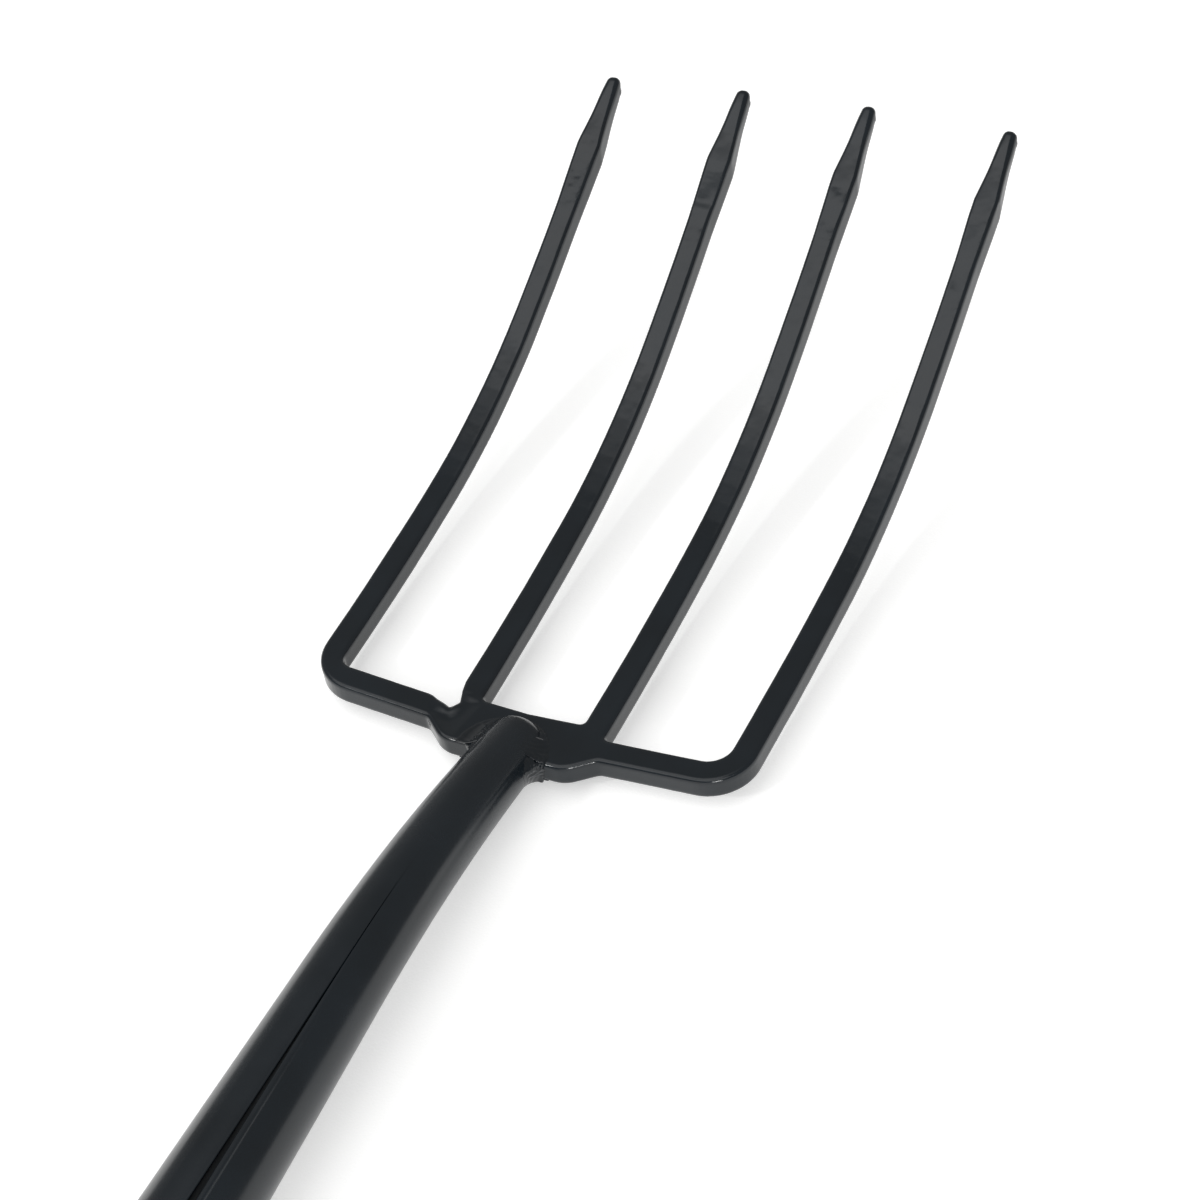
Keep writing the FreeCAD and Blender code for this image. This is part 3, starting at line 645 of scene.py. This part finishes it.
# Welds: a hand-laid fillet round the nose on each face of the hub, and one down each side where
# the socket passes the hub's foot. Each is hollow between its two toes, with a small roll along
# the toe on the hub. The right side wrinkled and froze uneven, where the welder stopped.
welding = {
    "stations": 60, "sectionPoints": 12, "rise": 6.0, "sideRise": (2.0, 5.0), "tubeRadius": 12.9,
    "lean": 1.6, "fullness": 0.42, "bury": 0.9, "buryInwards": 1.35, "root": 1.4,
    "toeRoll": 0.4, "toeShare": 0.22, "toeReach": (4.6, 6.0), "toeLength": (6.2, 9.5),
    "toeStations": 16, "toeStart": 5.0, "toeBelow": 1.6, "toeStep": 0.4,
    "downTaper": 0.2, "topTaper": 0.6, "endTaper": 0.4, "outsideTube": 1.1,
    "voxel": 0.28, "rounding": 5, "rippleStep": 2.4, "rippleDepth": 0.035,
    "rippleRadius": 16.77, "rippleCentre": 4, "wanderSize": 4,
    "restlessSize": 6, "restlessDepth": 0.15, "stopBelow": 1.0, "crinkleReach": (3, 8),
    "crinkleSize": 2.8, "crinkleDepth": 0.55, "ridgeHeight": 0.5, "valleyDepth": 2.5,
}
foot = headLow.y / mm


def onSocket(x, y, z):
    # the point of the socket that is nearest to this one
    return socketSurface.find_nearest(Vector((x, y, z)) * mm)[0] / mm


def skirtStations(node, face, sizes):
    # (toe on the hub, corner, crest on the socket) from the left foot round the nose to the right
    low, high = (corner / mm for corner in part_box(node))
    hubFace = low.z if face > 0 else high.z
    apex = high.y - foot
    stations = []
    for step in range(sizes["stations"] + 1):
        around = math.pi * (1 - step / sizes["stations"])
        x, y = math.cos(around), math.sin(around)
        toe = Vector((x * (abs(low.x) if x < 0 else high.x), foot + apex * y, hubFace))
        nearX, nearY = x * sizes["tubeRadius"], foot + (apex - sizes["lean"]) * y
        corner = onSocket(nearX, nearY, hubFace)
        rise = sizes["rise"] + sizes["sideRise"][0 if x < 0 else 1] * abs(x)
        stations.append((toe, corner, onSocket(nearX, nearY, hubFace + face * rise)))
    return stations


def sideStations(side, sizes):
    # the same down the hub's foot, from above its front edge to below its back edge
    reach, length = (sizes[name][0 if side < 0 else 1] for name in ("toeReach", "toeLength"))
    front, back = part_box("front_weld")[0].z / mm, headLow.z / mm
    stations = []
    top = front + sizes["toeStart"]
    beside = side * sizes["tubeRadius"] * sizes["outsideTube"]
    for step in range(sizes["toeStations"] + 1):
        share = step / sizes["toeStations"]
        z = top + (back - sizes["toeBelow"] - top) * share
        atTop = smoothStep(front, top, z)
        narrowing = (1 - sizes["downTaper"] * share) * (1 - sizes["topTaper"] * atTop)
        endNarrowing = narrowing * (1 - sizes["endTaper"] * share * share)
        wide = side * (sizes["tubeRadius"] + reach * endNarrowing)
        corner = onSocket(beside, foot, z)
        crest = onSocket(beside, foot - length * narrowing, z)
        stations.append((Vector((wide, foot, min(z, front + sizes["toeStep"]))), corner, crest))
    return stations


def weldMesh(stations, sizes):
    # sweeps the fillet's section along its stations: hollow face outside, root inside the metal
    shape = bmesh.new()
    rows = []
    for toe, corner, crest in stations:
        inwards = (corner - toe + corner - crest).normalized()
        waist = corner.lerp((toe + crest) / 2, sizes["fullness"])
        row = [toe + inwards * sizes["root"] / 2]
        for step in range(sizes["sectionPoints"] + 1):
            t = step / sizes["sectionPoints"]
            point = toe * (1 - t) ** 2 + waist * (2 * t * (1 - t)) + crest * t * t
            roll = sizes["toeRoll"] * math.sin(math.pi * min(1, t / sizes["toeShare"]))
            row.append(point - inwards * roll)
        # the feathered crest goes on under the socket's surface, so it ends in a clean line
        row.append(crest + (crest - corner).normalized() * sizes["bury"]
                   + (corner - toe).normalized() * sizes["buryInwards"])
        row.append(corner + inwards * sizes["root"])
        rows.append([shape.verts.new(point * mm) for point in row])
    joinRows(shape, rows)
    shape.faces.new(rows[0])
    shape.faces.new(rows[-1][::-1])
    return meshFrom(shape, "weld")


def layWeld(name, node, stations, stop, sizes):
    mesh = largestPart(softened(weldMesh(stations, sizes), sizes["voxel"], sizes["rounding"]))

    def depthAt(point, normal):
        turn = math.atan2(point.y - foot + sizes["rippleCentre"], point.x)
        around = turn * sizes["rippleRadius"] + noise.noise(point / sizes["wanderSize"])
        depth = sizes["rippleDepth"] * math.cos(2 * math.pi * around / sizes["rippleStep"])
        depth += sizes["restlessDepth"] * noise.noise(point / sizes["restlessSize"])
        wild = 1 - smoothStep(*sizes["crinkleReach"], (point - stop).length)
        valley = abs(noise.noise(point / sizes["crinkleSize"])) * sizes["valleyDepth"]
        return depth + wild * sizes["crinkleDepth"] * (sizes["ridgeHeight"] - valley)

    press(mesh, depthAt)
    return addPiece(name, mesh, weldEnamel, node)


# where the welder stopped
stop = Vector((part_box("right_toe_weld")[1].x / mm, foot - welding["stopBelow"],
               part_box("front_weld")[0].z / mm))
layWeld("weld_bead_front", "front_weld", skirtStations("front_weld", 1, welding), stop, welding)
layWeld("weld_bead_back", "back_weld", skirtStations("back_weld", -1, welding), stop, welding)
layWeld("weld_toe_left", "left_toe_weld", sideStations(-1, welding), stop, welding)
layWeld("weld_toe_right", "right_toe_weld", sideStations(1, welding), stop, welding)
print("welds laid")


# Handle: a turned pole with a swell at the socket's mouth and a rounded free end. A lathe and
# sandpaper leave it a little out of round.
turning = {
    "segments": 96, "pole": 19.0, "tenonAtMouth": 19.15, "tenonAtTip": 14.7, "tipRounding": 3.0,
    "swell": 20.6, "swellGap": 0.3, "swellLength": 6.0, "swellRounding": 1.2, "swellFade": 40.0,
    "endRounding": 13.0, "endSteps": 10, "poleStep": 20.0, "swellSteps": 12, "cornerSteps": 5,
    "unevenSize": 120, "unevenRound": 0.8, "unevenDepth": 0.18,
}


def handleProfile(sizes):
    # (distance along Y from the socket's mouth, radius), from the free end to the tenon's tip
    tip = (handleHigh.y - socketLow.y) / mm
    end = (handleLow.y - socketLow.y) / mm
    swellStart = -sizes["swellGap"]
    swellEnd = swellStart - sizes["swellLength"]
    poleStart = swellEnd - sizes["swellFade"]
    rounding = sizes["endRounding"]
    pole, swell = sizes["pole"], sizes["swell"]
    profile = [(end, 0.0)]
    for step in range(sizes["endSteps"] + 1):
        turn = math.radians(90 * step / sizes["endSteps"])
        profile.append((end + rounding * (1 - math.cos(turn)), pole - rounding * (1 - math.sin(turn))))
    poleLength = poleStart - end - rounding
    rings = round(poleLength / sizes["poleStep"])
    profile += [(end + rounding + poleLength * step / rings, pole) for step in range(1, rings + 1)]
    for step in range(1, sizes["swellSteps"] + 1):
        share = step / sizes["swellSteps"]
        profile.append((poleStart + sizes["swellFade"] * share,
                        pole + (swell - pole) * smoothStep(0, 1, share)))

    def corner(at, radius, small):
        # a rounded corner where the profile turns in towards the axis
        for step in range(sizes["cornerSteps"] + 1):
            turn = math.radians(90 * step / sizes["cornerSteps"])
            profile.append((at - small * (1 - math.sin(turn)), radius - small * (1 - math.cos(turn))))

    corner(swellStart, swell, sizes["swellRounding"])
    profile.append((swellStart, sizes["tenonAtMouth"]))
    corner(tip, sizes["tenonAtTip"], sizes["tipRounding"])
    profile.append((tip, 0.0))
    return profile


def turnHandle(sizes):
    shape = bmesh.new()
    rows = []
    for along, radius in handleProfile(sizes):
        y = socketLow.y + along * mm
        if radius == 0:
            rows.append([shape.verts.new((0, y, axisZ))] * sizes["segments"])
            continue
        row = []
        for step in range(sizes["segments"]):
            angle = 2 * math.pi * step / sizes["segments"]
            side = Vector((math.cos(angle), 0, math.sin(angle)))
            spot = side * sizes["unevenRound"] + Vector((0, along / sizes["unevenSize"], 0))
            uneven = noise.noise(spot)
            reach = radius + sizes["unevenDepth"] * (uneven - 1) / 2
            row.append(shape.verts.new(Vector((0, y, axisZ)) + side * (reach * mm)))
        rows.append(row)
    joinRows(shape, rows)
    return meshFrom(shape, "turned_handle")


addPiece("turned_ash_handle", cut(turnHandle(turning), fixingHoles()), ash, "handle")
for node, material in (("cross_rivet", rivetSteel), ("back_screw", screwSteel)):
    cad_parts[node].data.materials.clear()
    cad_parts[node].data.materials.append(material)
print("handle turned, rivet and screw finished")


# Floor, lights and camera. The head is lit by one wide soft box overhead, whose far edge fades in
# four strips, so the rising tines lighten slowly. Two small lamps, high at the left and low at the
# right, give the thin highlights on the edges and the welds.
studio = {
    "floorSize": 12000, "floor": "#f4f4f3", "tableGlow": 0.4, "ambient": 0.36,
    "toothSize": 1.111, "toothDepth": 0.05,
    "camera": {"lens": 135, "sensor": 36, "azimuth": 34.258, "elevation": 45.28, "roll": -11.694,
               "distance": 1806.1, "aim": (-2.4, 90.7, 4.75)},
    "lights": {
        "soft_box": {"from": (-400, -1890, 2400), "aimed": False, "size": (5000, 2820), "watts": 58},
        "strip_full": {"from": (-1000, -65, 2400), "aimed": False, "size": (2600, 530), "watts": 6.6},
        "strip_half": {"from": (-1000, 340, 2400), "aimed": False, "size": (2600, 280), "watts": 2.3},
        "strip_third": {"from": (-1000, 640, 2400), "aimed": False, "size": (2600, 320), "watts": 1.5},
        "strip_faint": {"from": (-1000, 975, 2400), "aimed": False, "size": (2600, 350), "watts": 0.7},
        "edge_lamp": {"from": (-1300, -2100, 1800), "aimed": True, "size": (200, 200), "watts": 14},
        "weld_lamp": {"from": (1500, -2300, 600), "aimed": True, "size": (600, 600), "watts": 30},
    },
}
hub = Vector(((headLow.x + headHigh.x) / 2, headLow.y, headLow.z))

floorMesh = bpy.data.meshes.new("floor")
half = studio["floorSize"] / 2 * mm
floorCorners = [(-half, -half, 0), (half, -half, 0), (half, half, 0), (-half, half, 0)]
floorMesh.from_pydata(floorCorners, [], [(0, 1, 2, 3)])
floor = bpy.data.objects.new("floor", floorMesh)
bpy.context.scene.collection.objects.link(floor)
paper, tree, place = newMaterial("white_paper_backdrop")
tooth = addNode(tree, "ShaderNodeTexNoise", {
    "Vector": place, "Scale": 1 / (studio["toothSize"] * mm), "Detail": 2})
relief = addNode(tree, "ShaderNodeBump", {
    "Height": tooth.outputs["Fac"], "Distance": studio["toothDepth"] * mm, "Strength": 1})
matt = addNode(tree, "ShaderNodeBsdfPrincipled", {
    "Base Color": toLinear(studio["floor"]), "Roughness": 0.9, "Specular IOR Level": 0.1,
    "Emission Color": (1, 1, 1, 1), "Emission Strength": studio["tableGlow"],
    "Normal": relief.outputs["Normal"]})
addNode(tree, "ShaderNodeOutputMaterial", {"Surface": matt.outputs["BSDF"]})
floorMesh.materials.append(paper)

world = bpy.data.worlds.new("studio")
bpy.context.scene.world = world
world.use_nodes = True
sky = world.node_tree.nodes["Background"]
sky.inputs["Color"].default_value = (1, 1, 1, 1)
sky.inputs["Strength"].default_value = studio["ambient"]

for name, look in studio["lights"].items():
    light = bpy.data.lights.new(name, "AREA")
    light.shape = "RECTANGLE"
    light.size, light.size_y = (side * mm for side in look["size"])
    light.energy = look["watts"]
    lamp = bpy.data.objects.new(name, light)
    bpy.context.scene.collection.objects.link(lamp)
    lamp.location = hub + Vector(look["from"]) * mm
    if look["aimed"]:
        lamp.rotation_euler = (lamp.location - hub).to_track_quat("Z", "Y").to_euler()

view = studio["camera"]
cameraData = bpy.data.cameras.new("camera")
cameraData.lens = view["lens"]
cameraData.sensor_width = view["sensor"]
camera = bpy.data.objects.new("camera", cameraData)
bpy.context.scene.collection.objects.link(camera)
azimuth, elevation = math.radians(view["azimuth"]), math.radians(view["elevation"])
level = math.cos(elevation)
away = Vector((math.sin(azimuth) * level, -math.cos(azimuth) * level, math.sin(elevation)))
facing = away.to_track_quat("Z", "Y").to_matrix() @ Matrix.Rotation(math.radians(view["roll"]), 3, "Z")
stand = hub + Vector(view["aim"]) * mm + away * (view["distance"] * mm)
camera.matrix_world = Matrix.Translation(stand) @ facing.to_4x4()
bpy.context.scene.camera = camera
bpy.context.scene.view_settings.view_transform = "Standard"
print("studio set")
